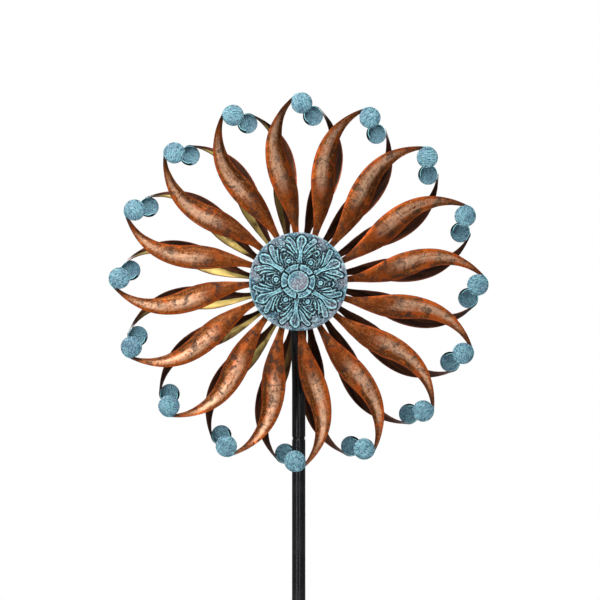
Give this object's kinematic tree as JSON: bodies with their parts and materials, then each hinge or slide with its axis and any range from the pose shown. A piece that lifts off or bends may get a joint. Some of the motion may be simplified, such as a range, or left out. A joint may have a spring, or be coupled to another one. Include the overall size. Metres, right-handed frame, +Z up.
{
  "type": "kinetic wind sculpture",
  "caption": "Garden wind spinner: two counter-facing copper wheels of curved blades with teal tip discs and medallions, turning freely on one axle on a black staked pole.",
  "frame": {"origin": "on the pole's axis at ground level, at the underside of the step bar", "axes": "+Z up the pole, Y along the axle with the front wheel towards -Y, X across the wheels"},
  "size_m": [0.6098, 0.136, 1.9049],
  "materials": {
    "black_powder_coat": "satin black powder coat",
    "stake_steel": "black painted steel",
    "hub_black": "black painted steel",
    "zinc_steel": "zinc plated",
    "bearing_steel": "ground bearing steel",
    "copper_patina": "hammered copper with dark patina",
    "teal_patina": "brushed teal patina"
  },
  "bodies": {
    "stand": {"stake_fork": "stake_steel", "stake_spike": "stake_steel", "lower_pole": "black_powder_coat", "middle_pole": "black_powder_coat", "upper_pole": "black_powder_coat", "axle_housing": "black_powder_coat", "axle": "zinc_steel", "axle_set_screw": "zinc_steel", "front_washer": "zinc_steel", "front_bearing_1_inner_ring": "bearing_steel", "front_bearing_2_inner_ring": "bearing_steel", "front_bearing_spacer": "zinc_steel", "front_axle_nut": "zinc_steel", "rear_washer": "zinc_steel", "rear_bearing_1_inner_ring": "bearing_steel", "rear_bearing_2_inner_ring": "bearing_steel", "rear_bearing_spacer": "zinc_steel", "rear_axle_nut": "zinc_steel"},
    "front_rotor": {"front_hub": "hub_black", "front_hub_plate": "hub_black", "front_medallion": "teal_patina", "front_bearing_1_outer_ring": "bearing_steel", "front_bearing_2_outer_ring": "bearing_steel", "front_blade_01": "copper_patina", "front_blade_02": "copper_patina", "front_blade_03": "copper_patina", "front_blade_04": "copper_patina", "front_blade_05": "copper_patina", "front_blade_06": "copper_patina", "front_blade_07": "copper_patina", "front_blade_08": "copper_patina", "front_blade_09": "copper_patina", "front_blade_10": "copper_patina", "front_blade_11": "copper_patina", "front_blade_12": "copper_patina", "front_blade_13": "copper_patina", "front_blade_14": "copper_patina", "front_blade_15": "copper_patina", "front_blade_16": "copper_patina"},
    "rear_rotor": {"rear_hub": "hub_black", "rear_hub_plate": "hub_black", "rear_medallion": "teal_patina", "rear_bearing_1_outer_ring": "bearing_steel", "rear_bearing_2_outer_ring": "bearing_steel", "rear_blade_01": "copper_patina", "rear_blade_02": "copper_patina", "rear_blade_03": "copper_patina", "rear_blade_04": "copper_patina", "rear_blade_05": "copper_patina", "rear_blade_06": "copper_patina", "rear_blade_07": "copper_patina", "rear_blade_08": "copper_patina", "rear_blade_09": "copper_patina", "rear_blade_10": "copper_patina", "rear_blade_11": "copper_patina", "rear_blade_12": "copper_patina", "rear_blade_13": "copper_patina", "rear_blade_14": "copper_patina", "rear_blade_15": "copper_patina", "rear_blade_16": "copper_patina"}
  },
  "joints": [
    {"name": "front_rotor_spin", "type": "hinge", "parent": "stand", "child": "front_rotor", "pos_m": [0, -0.045, 1.4], "axis": [0, 1, 0], "continuous": true},
    {"name": "rear_rotor_spin", "type": "hinge", "parent": "stand", "child": "rear_rotor", "pos_m": [0, 0.045, 1.4], "axis": [0, 1, 0], "continuous": true}
  ]
}
